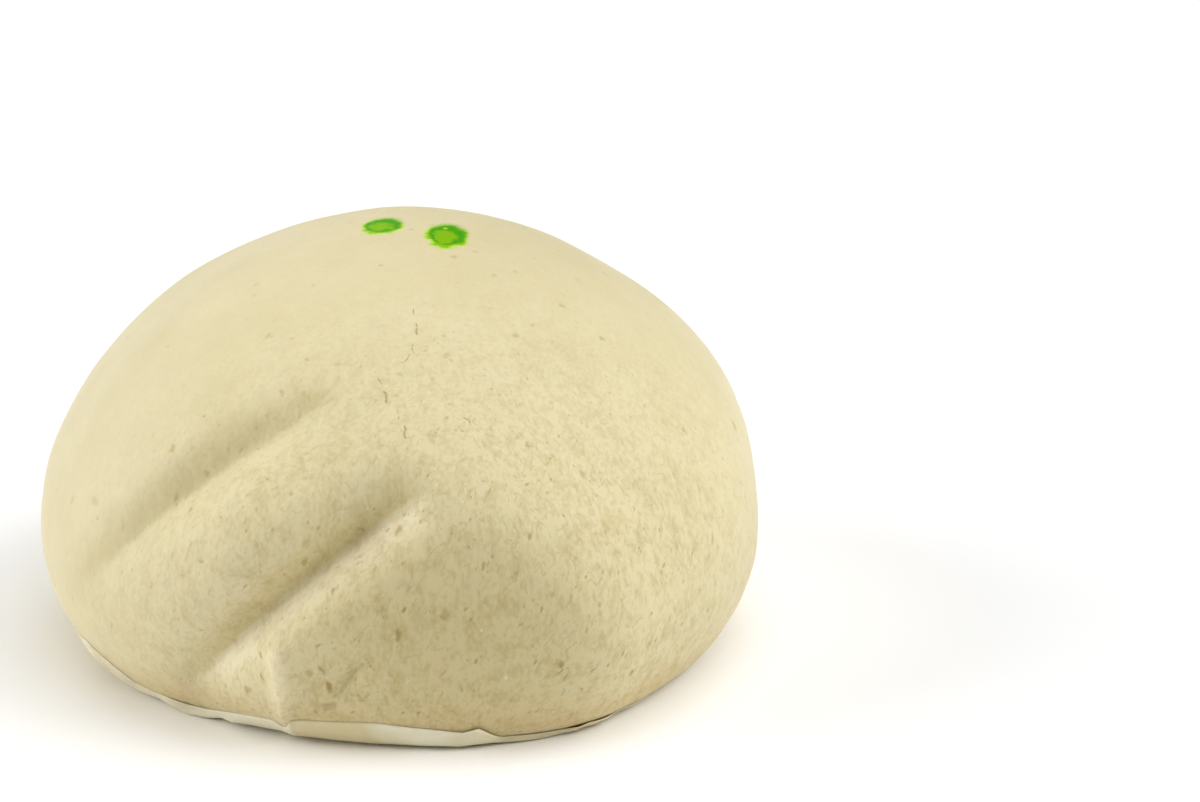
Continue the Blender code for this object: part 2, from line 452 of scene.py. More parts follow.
def mesh_object(name, shape):
    mesh = bpy.data.meshes.new(name)
    shape.to_mesh(mesh)
    shape.free()
    mesh.shade_smooth()
    return add_object(name, mesh)


def middle_of_box(corners):
    return Vector([(min(c[axis] for c in corners) + max(c[axis] for c in corners)) / 2
                   for axis in range(3)])


def make_skin():
    """The skin as an object, and the step that brought it onto the place of the solid."""
    skin = even_ball(SKIN_CELLS)
    turn = Matrix.Rotation(GRID_TURN, 3, CROWDED_PLACE)
    crease, crest = (skin.verts.layers.float.new(name) for name in ("crease", "crest"))
    for vert in skin.verts:
        direction = (turn @ vert.co + CROWDED_PLACE * CROWDING).normalized()
        vert[crease], vert[crest] = painted_fold_shade_and_light(plain_place(direction))
        vert.co = skin_place(direction)
    bmesh.ops.recalc_face_normals(skin, faces=skin.faces[:])
    step = (BUN_LOW + BUN_HIGH) / 2 - middle_of_box([vert.co for vert in skin.verts])
    step.z = 0.0
    bmesh.ops.translate(skin, vec=step, verts=skin.verts[:])
    return mesh_object("bun_skin", skin), step


bun_skin, TO_FRAME = make_skin()
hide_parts("bun")
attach(bun_skin, "root")
print("skin:", len(bun_skin.data.polygons) * 2, "triangles, moved by", TO_FRAME)

# %% [markdown]
# ## Pores
# A steamed skin is dotted with pores where bubbles came up: small, a little darker, and drawn out
# downwards as the dough sagged. A Voronoi texture scatters points evenly through space. Each point
# gets random lots, which say whether it becomes a pore, how wide and how strong. The mask is full
# in the pore and eases out to its rim, and noise that is added to the place first makes it ragged.

# %% Build the pore group
SMALLEST_PORE = 0.12
PORE_SIZE_POWER = 2.5
FAINTEST_PORE = 0.3
PORE_CORE = 0.35
RAGGED_SCALE = 4.0
RAGGED_SHIFT = (0.32, 0.32, 0.32)
MIDDLE_GREY = (0.5, 0.5, 0.5)


def make_pore_group():
    group, entry, result = new_group(
        "pores",
        (("Place", "Vector"), ("Spacing", "Float"), ("Widest", "Float"), ("Share", "Float")),
        (("Pore", "Float"),))
    scattered = along(group, "DIVIDE", entry["Place"], entry["Spacing"])
    ragged = add_node(group, "TexNoise",
                      {"Vector": scattered, "Scale": RAGGED_SCALE, "Detail": 2.0})
    ragged = along(group, "SUBTRACT", ragged.outputs["Color"], MIDDLE_GREY)
    scattered = along(group, "ADD", scattered, along(group, "MULTIPLY", ragged, RAGGED_SHIFT))
    cells = add_node(group, "TexVoronoi", {"Vector": scattered, "Scale": 1.0})
    lots = add_node(group, "SeparateColor", {"Color": cells.outputs["Color"]}).outputs
    size = calculate(group, "POWER", lots["Red"], PORE_SIZE_POWER)
    size = calculate(group, "MULTIPLY_ADD", size, entry["Widest"], SMALLEST_PORE)
    off_middle = calculate(group, "DIVIDE", cells.outputs["Distance"], size)
    inside = ramp(group, off_middle, PORE_CORE, 1.0, 1.0, 0.0)
    chosen = calculate(group, "LESS_THAN", lots["Green"], entry["Share"])
    strength = calculate(group, "MULTIPLY_ADD", lots["Blue"], 1 - FAINTEST_PORE, FAINTEST_PORE)
    pore = calculate(group, "MULTIPLY", calculate(group, "MULTIPLY", inside, chosen), strength)
    fill(group, result["Pore"], pore)
    return group


PORES = make_pore_group()
print("nodes in the pore group:", len(PORES.nodes))

# %% [markdown]
# ## Mottling
# The dough, the paper and the table all have soft clouds, in which the colour, the height or the
# shine differs a little, so the clouds are one group: noise of a given size, brought to a range of
# about -1 to 1.

# %% Build the mottle group
MOTTLE_RANGE = 3.0


def make_mottle_group():
    group, entry, result = new_group(
        "mottle", (("Place", "Vector"), ("Size", "Float"), ("Detail", "Float")),
        (("Mottle", "Float"),))
    place = along(group, "DIVIDE", entry["Place"], entry["Size"])
    cloud = add_node(group, "TexNoise", {"Vector": place, "Scale": 1.0, "Detail": entry["Detail"]})
    centred = calculate(group, "SUBTRACT", cloud.outputs["Fac"], 0.5)
    fill(group, result["Mottle"], calculate(group, "MULTIPLY", centred, MOTTLE_RANGE))
    return group


MOTTLE = make_mottle_group()
print("nodes in the mottle group:", len(MOTTLE.nodes))

# %% [markdown]
# ## Fine wrinkles
# The skin shrank as it cooled, and is covered in short marks that lean and curve, a few tenths of a
# millimetre wide. Two steps make them: every place is first shifted by a slow swirl and squeezed
# along one leaning axis, so that whatever is drawn there comes out long and curved. On that, pores
# become dashes, and the line where a noise crosses its middle value becomes a wrinkle, of which a
# second noise lets only short pieces through.

# %% Build the leaning place and the wrinkle group
LEAN = (0.0, math.radians(22), 0.0)
LENGTHENED = (1.0, 1.0, 2.3)
SWIRL_SCALE, SWIRL_SHIFT = 260.0, 0.0022
PIECES_FROM, PIECES_TO = 0.50, 0.66


def shifted_by_noise(group, place, scale, detail, shift):
    """A place moved a little, each way, by noise."""
    push = add_node(group, "TexNoise", {"Vector": place, "Scale": scale, "Detail": detail})
    push = along(group, "SUBTRACT", push.outputs["Color"], MIDDLE_GREY)
    return along(group, "ADD", place, along(group, "MULTIPLY", push, (shift,) * 3))


def make_lean_group():
    group, entry, result = new_group("lean", (("Place", "Vector"),), (("Place", "Vector"),))
    shifted = shifted_by_noise(group, entry["Place"], SWIRL_SCALE, 0.0, SWIRL_SHIFT)
    leaning = add_node(group, "Mapping", {"Vector": shifted, "Rotation": LEAN, "Scale": LENGTHENED},
                       vector_type="TEXTURE")
    fill(group, result["Place"], leaning.outputs["Vector"])
    return group


def make_wrinkle_group():
    group, entry, result = new_group(
        "wrinkles", (("Place", "Vector"), ("Size", "Float"), ("Width", "Float")),
        (("Wrinkle", "Float"),))
    place = along(group, "DIVIDE", entry["Place"], entry["Size"])
    field = add_node(group, "TexNoise", {"Vector": place, "Scale": 1.0, "Detail": 0.5})
    off_line = calculate(group, "ABSOLUTE", calculate(group, "SUBTRACT", field.outputs["Fac"], 0.5))
    line = ramp(group, off_line, 0.0, entry["Width"], 1.0, 0.0)
    pieces = add_node(group, "TexNoise", {"Vector": place, "Scale": 1.3, "Detail": 0.0})
    pieces = ramp(group, pieces.outputs["Fac"], PIECES_FROM, PIECES_TO)
    fill(group, result["Wrinkle"], calculate(group, "MULTIPLY", line, pieces))
    return group


LEANING = make_lean_group()
WRINKLES = make_wrinkle_group()
print("nodes in the lean and wrinkle groups:", len(LEANING.nodes), len(WRINKLES.nodes))

# %% [markdown]
# ## Hairlines and pits
# Where the taut skin gave way there are hairline cracks, and here and there a bubble burst and left
# a pit. A hairline is the distance to a straight run between two points, and a pit is the distance
# to one point. The place is first shifted a little by noise, so that both come out ragged. That
# shift is the same for all of them, so it is a group of its own and is worked out once.

# %% Build the wander, hairline and pit groups
WANDER_SCALE, WANDER_SHIFT = 700.0, 0.0012
LEAST_LINE_WIDTH = 0.15
LINE_CORE, PIT_CORE = 0.2, 0.25


def make_wander_group():
    group, entry, result = new_group("wander", (("Place", "Vector"),), (("Place", "Vector"),))
    shifted = shifted_by_noise(group, entry["Place"], WANDER_SCALE, 1.0, WANDER_SHIFT)
    fill(group, result["Place"], shifted)
    return group


def make_hairline_group():
    group, entry, result = new_group(
        "hairline",
        (("Place", "Vector"), ("Start", "Vector"), ("End", "Vector"), ("Width", "Float")),
        (("Line", "Float"),))
    run = along(group, "SUBTRACT", entry["End"], entry["Start"])
    gone = along(group, "SUBTRACT", entry["Place"], entry["Start"])
    share = calculate(group, "DIVIDE", along(group, "DOT_PRODUCT", gone, run),
                      along(group, "DOT_PRODUCT", run, run), clamp=True)
    nearest = add_node(group, "VectorMath", {0: run, "Scale": share}, operation="SCALE")
    gap = along(group, "DISTANCE", gone, nearest.outputs["Vector"])
    taper = calculate(group, "SINE", calculate(group, "MULTIPLY", share, math.pi))
    taper = calculate(group, "ADD", taper, LEAST_LINE_WIDTH)
    width = calculate(group, "MULTIPLY", entry["Width"], taper)
    line = ramp(group, calculate(group, "DIVIDE", gap, width), LINE_CORE, 1.0, 1.0, 0.0)
    fill(group, result["Line"], line)
    return group


def make_pit_group():
    group, entry, result = new_group(
        "pit", (("Place", "Vector"), ("Middle", "Vector"), ("Size", "Vector")), (("Pit", "Float"),))
    away = along(group, "SUBTRACT", entry["Place"], entry["Middle"])
    away = along(group, "LENGTH", along(group, "DIVIDE", away, entry["Size"]))
    fill(group, result["Pit"], ramp(group, away, PIT_CORE, 1.0, 1.0, 0.0))
    return group


WANDER = make_wander_group()
HAIRLINE = make_hairline_group()
PIT = make_pit_group()
print("node groups so far:", [group.name for group in bpy.data.node_groups])

# %% [markdown]
# ## Dye rings
# The rings are stamped with a hollow stick dipped in green food dye: a dark line where the stick's
# wall pressed, a thinner wash inside, and a yellow-green halo where the dye crept into the dough.
# The distance from the middle of the stamp, seen from above, gives all three. Noise makes the
# line break and swell as a wet stamp's does. The stick leaned a little as it was pressed, so the
# line is heavier on the far side, and in one ring a small notch stayed free of dye.

# %% Build the dye ring group
STAMP_LEAN = (0.35, 0.90, 0.0)
SEEN_FROM_ABOVE = (1.0, 1.0, 0.0)
BLOT_SCALE = 640.0
BLOT_SHIFT = 0.70
RING_RADIUS = 0.76
LINE_THICKNESS, LINE_HEAVIER, LINE_BLOTTED, THINNEST_LINE = 0.30, 0.34, 0.8, 0.03
LINE_STRENGTH = 0.92
NOTCH_FROM, NOTCH_TO = 0.0001, 0.0006
WASH_FROM, WASH_TO = 0.86, 1.10
HALO_FROM, HALO_TO = 0.98, 1.24


def make_dye_group():
    group, entry, result = new_group(
        "dye ring",
        (("Place", "Vector"), ("Middle", "Vector"), ("Size", "Vector"), ("Gap", "Vector")),
        (("Line", "Float"), ("Wash", "Float"), ("Halo", "Float")))
    away = along(group, "SUBTRACT", entry["Place"], entry["Middle"])
    away = along(group, "MULTIPLY", away, SEEN_FROM_ABOVE)
    in_rings = along(group, "DIVIDE", away, entry["Size"])
    blot = add_node(group, "TexNoise",
                    {"Vector": entry["Place"], "Scale": BLOT_SCALE, "Detail": 3.0})
    blot = calculate(group, "SUBTRACT", blot.outputs["Fac"], 0.5)
    distance = along(group, "LENGTH", in_rings)
    distance = calculate(group, "MULTIPLY_ADD", blot, BLOT_SHIFT, distance)
    off_line = calculate(group, "ABSOLUTE", calculate(group, "SUBTRACT", distance, RING_RADIUS))
    heavy = along(group, "DOT_PRODUCT", in_rings, STAMP_LEAN)
    thickness = calculate(group, "MULTIPLY_ADD", heavy, LINE_HEAVIER, LINE_THICKNESS)
    thickness = calculate(group, "MULTIPLY_ADD", blot, LINE_BLOTTED, thickness)
    thickness = calculate(group, "MAXIMUM", thickness, THINNEST_LINE)
    line = calculate(group, "DIVIDE", off_line, thickness)
    line = ramp(group, line, 0.0, 1.0, LINE_STRENGTH, 0.0)
    notch = ramp(group, along(group, "DISTANCE", away, entry["Gap"]), NOTCH_FROM, NOTCH_TO)
    wash = ramp(group, distance, WASH_FROM, WASH_TO, 1.0, 0.0)
    fill(group, result["Line"], calculate(group, "MULTIPLY", line, notch))
    fill(group, result["Wash"], calculate(group, "MULTIPLY", wash, notch))
    fill(group, result["Halo"], ramp(group, distance, HALO_FROM, HALO_TO, 1.0, 0.0))
    return group


DYE = make_dye_group()
print("nodes in the dye ring group:", len(DYE.nodes))

# %% [markdown]
# ## The finish of the dough
# Steamed dough is matt and a little translucent: light enters it, turns warmer and comes out near
# by, which softens every shadow. Subsurface scattering does this. The plain colour is a cream,
# paler where the skin is taut, with painted shade darker low at the front and browner at the foot,
# and painted light paler on the crests. The mottling, the painted shade of the creases, the pores
# and the wrinkles are tints that multiply it, so that they show equally on every one of those
# colours. Specks, cracks, pits and at last the dye are mixed over it, and the pale specks are
# painted glints. The marks of the skin also give the height of the bump, and they are strongest on
# the rough side, low at the front, where the steam kept the skin soft.

# %% Set the dough's colours
DOUGH = (0.695, 0.615, 0.375)
DOUGH_PALE = (0.72, 0.645, 0.41)
# Painted shade: the darker dough colour low at the front, which stands in half shade
DOUGH_PAINTED_SHADE = (0.575, 0.490, 0.252)
# Painted light: the paler dough colour on the crests that catch the light
CREST_PAINTED_LIGHT = (0.83, 0.745, 0.52)
# Painted shade multiplied into the creases of the folds
CREASE_PAINTED_SHADE = (0.90, 0.86, 0.74)
SHADE_TINT = (0.80, 0.755, 0.62)
PORE_TINT = (0.66, 0.60, 0.42)
# Where that painted shade lies: a side low at the front, and how far round it spreads
PAINTED_SHADE_SIDE = toward(10, -4)
PAINTED_SHADE_FROM, PAINTED_SHADE_TO = 0.87, 1.0
ROUGH_SIDE = toward(16, -10)
ROUGH_FROM, ROUGH_TO = 0.15, 0.97
# Painted shade: the browner dough colour low at the foot, under the overhanging dough
FOOT_PAINTED_SHADE = (0.62, 0.46, 0.22)
# Painted glints: the pale colour of specks that stand for small points of shine
SPECK_PAINTED_GLINT = (0.90, 0.85, 0.66)
CRACK_BROWN = (0.43, 0.33, 0.10)
PIT_BROWN = (0.38, 0.25, 0.06)
DYE_DARK = (0.04, 0.32, 0.0)
DYE_WASH = (0.21, 0.46, 0.0)
DYE_HALO = (0.44, 0.73, 0.01)
print("rough side of the skin faces", ROUGH_SIDE)

# %% List the marks on the dough
Mark = namedtuple("Mark", "bearing elevation size gap")
DYE_MARKS = (
    Mark(bearing=-111, elevation=86.7, size=(0.0027, 0.0035, 1.0), gap=(0.0, 0.02, 0.0)),
    Mark(bearing=69.3, elevation=80.3, size=(0.0028, 0.0043, 1.0), gap=(-0.0003, 0.0030, 0.0)),
)
Hairline = namedtuple("Hairline", "start end width")
HAIRLINES = (
    Hairline((8.6, 59.8), (8.6, 57.0), 0.00013),
    Hairline((9.0, 56.0), (8.4, 51.6), 0.00024),
    Hairline((7.2, 52.0), (6.9, 48.8), 0.00027),
    Hairline((6.6, 49.2), (4.2, 47.2), 0.00015),
    Hairline((-1.7, 46.0), (-0.2, 43.0), 0.00014),
    Hairline((0.1, 42.4), (1.4, 39.6), 0.00026),
    Hairline((15.2, 37.4), (16.6, 34.6), 0.00016),
    Hairline((3.1, 39.6), (3.1, 37.0), 0.00015),
    Hairline((4.6, 36.8), (4.5, 33.4), 0.00025),
    Hairline((-19.8, -0.4), (-18.6, -2.8), 0.00034),
    Hairline((-19.8, -4.2), (-18.4, -6.6), 0.00030),
)
Pit = namedtuple("Pit", "bearing elevation size strength")
PITS = (
    Pit(-8.8, -6.5, (0.00050, 0.0016, 0.0016), 1.0),
    Pit(-9.6, -2.8, (0.00034, 0.0014, 0.0009), 0.75),
    Pit(-15.0, -1.0, (0.0007, 0.0015, 0.0010), 0.25),
    Pit(-11.8, -3.6, (0.0006, 0.0015, 0.0009), 0.35),
    Pit(-4.9, -7.7, (0.0006, 0.0012, 0.0005), 0.40),
    Pit(-3.6, -8.7, (0.0007, 0.0012, 0.0005), 0.45),
    Pit(-2.8, -7.8, (0.0005, 0.0012, 0.0005), 0.40),
    Pit(-53, 16, (0.0009, 0.0015, 0.0009), 0.30),
    Pit(-30, 1.0, (0.0005, 0.0015, 0.0005), 0.45),
    Pit(-27.5, 13.5, (0.0006, 0.0015, 0.0005), 0.40),
)


def on_skin(bearing, elevation):
    """A place on the finished skin, as the object's mesh has it."""
    return skin_place(toward(bearing, elevation)) + TO_FRAME


for mark in DYE_MARKS:
    print("a dye ring at", on_skin(mark.bearing, mark.elevation))

# %% [markdown]
# The amount of each thing in the mix is set against the real colours of steamed dough. They stand
# together here, so that the material below reads as a list of steps.

# %% Set how much of each shows
LEAST_ROUGH = 0.14
FROM_PATCHES, FROM_FLECKS, FROM_GRAIN = 0.34, 0.62, 0.62
FROM_CLOUDS, SHADE_EVERYWHERE = 0.18, 0.20
WIDE_PORES_ON_ROUGH, WIDE_PORES_EVERYWHERE = 0.45, 0.5
# Shares of the painted shade low at the front and of the painted light on the crests
PAINTED_SHADE_SHARE, CREST_SHARE = 0.75, 0.95
# The band of painted shade at the foot: its top and bottom levels, its share and unevenness
FOOT_TOP, FOOT_BOTTOM = 0.0105, 0.0035
FOOT_SHARE, FOOT_CLOUDED = 0.42, 0.3
WRINKLE_SHARE, SPECK_SHARE, CRACK_SHARE, PIT_SHARE, HALO_SHARE = 0.22, 0.45, 0.85, 0.85, 0.85
GRAIN_HEIGHT, FLECK_HEIGHT = 0.036, 0.045
PORE_HEIGHT, SPECK_HEIGHT, WRINKLE_HEIGHT = -0.05, 0.05, -0.06
CRACK_HEIGHT, PIT_HEIGHT = -0.10, -0.22
BUMP_UNIT = 0.001
ROUGHNESS_TAUT, ROUGHER_ON_ROUGH_SIDE = 0.46, 0.12
print("the heights are parts of", BUMP_UNIT * 1000, "mm")

# %% [markdown]
# The marks of the skin come first, each kind as a mask that is 1 on the mark and 0 off it. Dashes,
# specks and wrinkles lean and keep to the rough side, wide pores are everywhere, and hairlines and
# pits are where the lists say. Where several masks are joined, the largest one counts.

# %% Find the marks of the skin
DRAWN_DOWN = (1.0, 1.0, 0.6)
SkinMarks = namedtuple("SkinMarks", "pores specks wrinkles hairlines pits")


def largest(tree, masks):
    whole = masks[0]
    for mask in masks[1:]:
        whole = calculate(tree, "MAXIMUM", whole, mask)
    return whole


def find_pores(tree, place, drawn_down, rough_side):
    """The masks of the pores, of the pale specks, which are painted glints, and of the wrinkles."""
    leaning = use_group(tree, LEANING, Place=place)["Place"]
    dashes = use_group(tree, PORES, Place=leaning, Spacing=0.00085, Widest=0.31, Share=0.52)["Pore"]
    specks = use_group(tree, PORES, Place=leaning, Spacing=0.00135, Widest=0.13, Share=0.16)["Pore"]
    wrinkles = use_group(tree, WRINKLES, Place=leaning, Size=0.0010, Width=0.075)["Wrinkle"]
    dashes, specks, wrinkles = (calculate(tree, "MULTIPLY", mask, rough_side)
                                for mask in (dashes, specks, wrinkles))
    wide_pores = use_group(tree, PORES, Place=drawn_down, Spacing=0.0030, Widest=0.16, Share=0.55)
    wide_pores = calculate(tree, "MULTIPLY", wide_pores["Pore"],
                           calculate(tree, "MULTIPLY_ADD", rough_side, WIDE_PORES_ON_ROUGH,
                                     WIDE_PORES_EVERYWHERE))
    return largest(tree, [dashes, wide_pores]), specks, wrinkles


def find_hairlines_and_pits(tree, place):
    ragged = use_group(tree, WANDER, Place=place)["Place"]
    lines = [use_group(tree, HAIRLINE, Place=ragged, Start=on_skin(*line.start),
                       End=on_skin(*line.end), Width=line.width)["Line"] for line in HAIRLINES]
    pits = [use_group(tree, PIT, Place=ragged, Middle=on_skin(pit.bearing, pit.elevation),
                      Size=pit.size)["Pit"] for pit in PITS]
    pits = [calculate(tree, "MULTIPLY", mask, pit.strength) for mask, pit in zip(pits, PITS)]
    return largest(tree, lines), largest(tree, pits)


def find_marks(tree, place, drawn_down, rough_side):
    return SkinMarks(*find_pores(tree, place, drawn_down, rough_side),
                     *find_hairlines_and_pits(tree, place))


# %% [markdown]
# The mottling is clouds of four sizes, added up to one shade. The widest clouds shade the whole
# skin, and the patches, flecks and grain shade the rough side most. The flecks and the grain are
# also used for the bump, and the widest clouds make the painted shade at the foot uneven.

# %% Find the mottling
Mottling = namedtuple("Mottling", "clouds flecks grain shade")


def find_mottling(tree, place, drawn_down, rough_side):
    clouds = use_group(tree, MOTTLE, Place=place, Size=0.011, Detail=3.0)["Mottle"]
    flecks = use_group(tree, MOTTLE, Place=drawn_down, Size=0.0016, Detail=4.0)["Mottle"]
    patches = use_group(tree, MOTTLE, Place=place, Size=0.0042, Detail=2.0)["Mottle"]
    grain = use_group(tree, MOTTLE, Place=drawn_down, Size=0.0006, Detail=3.0)["Mottle"]
    uneven = calculate(tree, "MULTIPLY_ADD", patches, FROM_PATCHES,
                       calculate(tree, "MULTIPLY", flecks, FROM_FLECKS))
    uneven = calculate(tree, "MULTIPLY_ADD", grain, FROM_GRAIN, uneven)
    shade = calculate(tree, "MULTIPLY_ADD", clouds, FROM_CLOUDS, SHADE_EVERYWHERE)
    shade = calculate(tree, "MULTIPLY_ADD", uneven, rough_side, shade, clamp=True)
    return Mottling(clouds, flecks, grain, shade)


# %% [markdown]
# The colour is built up in layers: the plain dough by where it lies, with its painted shade and
# light, the tints and marks of its skin on that, and the dye on top.

# %% Mix the colour
def plain_colour(tree, outwards, level, rough_side, clouds):
    """Cream paler where taut, with painted shade low in front and at the foot, painted light on
    crests.
    """
    taut = calculate(tree, "SUBTRACT", 1.0, rough_side)
    colour = mix_colours(tree, taut, DOUGH, DOUGH_PALE)
    # Painted shade: the dough is darkened low at the front
    painted_front_shade = along(tree, "DOT_PRODUCT", outwards, tuple(PAINTED_SHADE_SIDE))
    painted_front_shade = ramp(tree, painted_front_shade, PAINTED_SHADE_FROM, PAINTED_SHADE_TO, 0.0, PAINTED_SHADE_SHARE)
    colour = mix_colours(tree, painted_front_shade, colour, DOUGH_PAINTED_SHADE)
    # Painted light: paler dough on the crests
    crest = add_node(tree, "Attribute", attribute_name="crest").outputs["Fac"]
    colour = mix_colours(tree, calculate(tree, "MULTIPLY", crest, CREST_SHARE), colour, CREST_PAINTED_LIGHT)
    # Painted shade: browner dough low at the foot
    foot = calculate(tree, "MULTIPLY", ramp(tree, level, FOOT_BOTTOM, FOOT_TOP, 1.0, 0.0),
                     calculate(tree, "MULTIPLY_ADD", clouds, FOOT_CLOUDED, FOOT_SHARE), clamp=True)
    return mix_colours(tree, foot, colour, FOOT_PAINTED_SHADE)


def marked_colour(tree, colour, marks, shade):
    """The colour with its tints multiplied in and its marks mixed over."""
    crease = add_node(tree, "Attribute", attribute_name="crease").outputs["Fac"]
    faint_wrinkles = calculate(tree, "MULTIPLY", marks.wrinkles, WRINKLE_SHARE)
    # The tint of the creases is painted shade
    for mask, tint in ((shade, SHADE_TINT), (crease, CREASE_PAINTED_SHADE), (marks.pores, PORE_TINT),
                       (faint_wrinkles, PORE_TINT)):
        colour = mix_colours(tree, mask, colour, tint, blend="MULTIPLY")
    # The pale specks mixed over here are painted glints
    for mask, share, paint in ((marks.specks, SPECK_SHARE, SPECK_PAINTED_GLINT),
                               (marks.hairlines, CRACK_SHARE, CRACK_BROWN),
                               (marks.pits, PIT_SHARE, PIT_BROWN)):
        colour = mix_colours(tree, calculate(tree, "MULTIPLY", mask, share), colour, paint)
    return colour


def dyed_colour(tree, colour, place):
    """The colour with both dye rings stamped on."""
    for mark in DYE_MARKS:
        ring = use_group(tree, DYE, Place=place, Middle=on_skin(mark.bearing, mark.elevation),
                         Size=mark.size, Gap=mark.gap)
        halo = calculate(tree, "MULTIPLY", ring["Halo"], HALO_SHARE)
        colour = mix_colours(tree, halo, colour, DYE_HALO)
        colour = mix_colours(tree, ring["Wash"], colour, DYE_WASH)
        colour = mix_colours(tree, ring["Line"], colour, DYE_DARK)
    return colour


# %% [markdown]
# The height of the bump is the grain and flecks of the rough side, with the marks sunk in or, for
# the specks, standing up. The material then only joins the parts to its shader.

# %% Build the dough material
def new_material(name):
    material = bpy.data.materials.new(name)
    material.use_nodes = True
    return material, material.node_tree, material.node_tree.nodes["Principled BSDF"]


def skin_height(tree, marks, mottling, rough_side):
    height = calculate(tree, "MULTIPLY_ADD", mottling.grain, GRAIN_HEIGHT,
                       calculate(tree, "MULTIPLY", mottling.flecks, FLECK_HEIGHT))
    height = calculate(tree, "MULTIPLY", height, rough_side)
    rises = (PORE_HEIGHT, SPECK_HEIGHT, WRINKLE_HEIGHT, CRACK_HEIGHT, PIT_HEIGHT)
    for mask, rise in zip(marks, rises):
        height = calculate(tree, "MULTIPLY_ADD", mask, rise, height)
    return height


def make_dough_finish():
    material, tree, shader = new_material("steamed_dough")
    place = add_node(tree, "TexCoord").outputs["Object"]
    level = add_node(tree, "SeparateXYZ", {"Vector": place}).outputs["Z"]
    outwards = along(tree, "NORMALIZE", along(tree, "SUBTRACT", place, tuple(HEART + TO_FRAME)))
    facing = along(tree, "DOT_PRODUCT", outwards, tuple(ROUGH_SIDE))
    rough_side = ramp(tree, facing, ROUGH_FROM, ROUGH_TO, LEAST_ROUGH, 1.0)
    drawn_down = along(tree, "MULTIPLY", place, DRAWN_DOWN)

    marks = find_marks(tree, place, drawn_down, rough_side)
    mottling = find_mottling(tree, place, drawn_down, rough_side)
    colour = plain_colour(tree, outwards, level, rough_side, mottling.clouds)
    colour = marked_colour(tree, colour, marks, mottling.shade)
    colour = dyed_colour(tree, colour, place)
    height = skin_height(tree, marks, mottling, rough_side)
    bump = add_node(tree, "Bump", {"Height": height, "Distance": BUMP_UNIT, "Strength": 1.0})
    roughness = calculate(tree, "MULTIPLY_ADD", rough_side, ROUGHER_ON_ROUGH_SIDE, ROUGHNESS_TAUT)

    fill(tree, shader.inputs["Base Color"], colour)
    fill(tree, shader.inputs["Normal"], bump.outputs["Normal"])
    fill(tree, shader.inputs["Roughness"], roughness)
    shader.inputs["Specular IOR Level"].default_value = 0.22
    shader.inputs["Subsurface Weight"].default_value = 0.35
    shader.inputs["Subsurface Radius"].default_value = (1.0, 0.65, 0.30)
    shader.inputs["Subsurface Scale"].default_value = 0.0035
    return material


bun_skin.data.materials.append(make_dough_finish())
print("dye rings, hairlines and pits:", len(DYE_MARKS), len(HAIRLINES), len(PITS))

# %% [markdown]
# ## The baking paper
# The paper was a flat round. The bun's weight and the steam pressed its margin up against the
# foot, and as a flat round can't become a bowl without folding, the margin is pleated. The sheet
# is grown ring by ring from a disc, each point is laid against the bun's own formula, and then the
# sheet gets its thickness. At each bearing a row of the list says how high the edge comes, how far
# the edge stands off, how far the foot of the margin is spread, and how loose the paper is there.
# Between two rows all four run straight, so that each pleat is a facet that catches the light in
# its own way.

